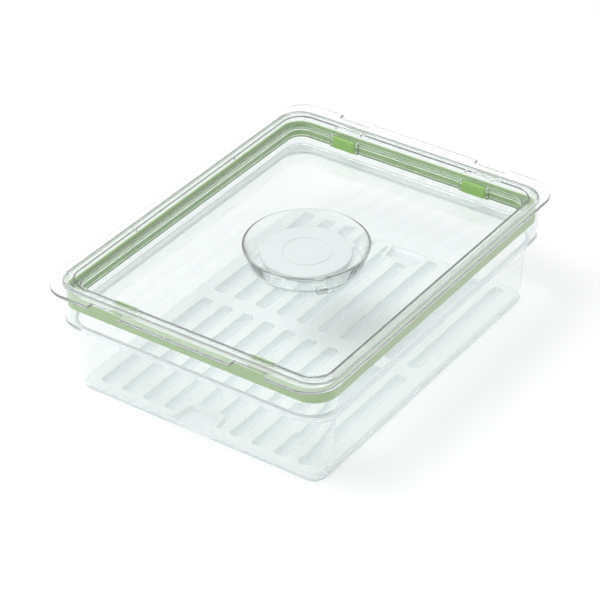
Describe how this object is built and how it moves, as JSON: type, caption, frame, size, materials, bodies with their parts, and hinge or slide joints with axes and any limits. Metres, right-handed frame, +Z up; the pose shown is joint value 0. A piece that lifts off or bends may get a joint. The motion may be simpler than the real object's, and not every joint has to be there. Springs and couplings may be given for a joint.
{
  "type": "food storage container",
  "caption": "Oblong clear food bin with a slotted drain tray and a recessed sealing lid that has a turning vent knob.",
  "frame": {"origin": "middle of the bin's underside, on the surface it stands on", "axes": "+X across the short side, +Y along the long side, +Z up"},
  "size_m": [0.2442, 0.3256, 0.094],
  "materials": {
    "clear_plastic": "clear, glossy",
    "clear_plastic_lid": "clear, glossy",
    "clear_plastic_knob": "clear, glossy",
    "frosted_plastic": "frosted, translucent",
    "green_silicone": "satin silicone",
    "seal_silicone": "pale satin silicone",
    "white_plastic": "fine satin"
  },
  "bodies": {
    "bin": {"bin_body": "clear_plastic"},
    "tray": {"drain_tray": "frosted_plastic"},
    "lid": {"lid_shell": "clear_plastic_lid", "lid_gasket": "green_silicone", "lid_pad_front_left": "green_silicone", "lid_pad_front_right": "green_silicone", "lid_pad_back_left": "green_silicone", "lid_pad_back_right": "green_silicone"},
    "knob": {"vent_knob": "clear_plastic_knob", "vent_seal": "seal_silicone", "vent_retainer": "clear_plastic_knob", "vent_cap": "white_plastic"}
  },
  "joints": [
    {"name": "lid_lift", "type": "slide", "parent": "bin", "child": "lid", "axis": [0, 0, 1], "range_m": [0, 0.2]},
    {"name": "tray_lift", "type": "slide", "parent": "bin", "child": "tray", "axis": [0, 0, 1], "range_m": [0, 0.1]},
    {"name": "vent_turn", "type": "hinge", "parent": "lid", "child": "knob", "pos_m": [0, 0, 0.07], "axis": [0, 0, 1], "range_deg": [0, 60]}
  ],
  "couplings": [
    {"joint": "tray_lift", "follows": "lid_lift", "ratio": 0.5}
  ]
}
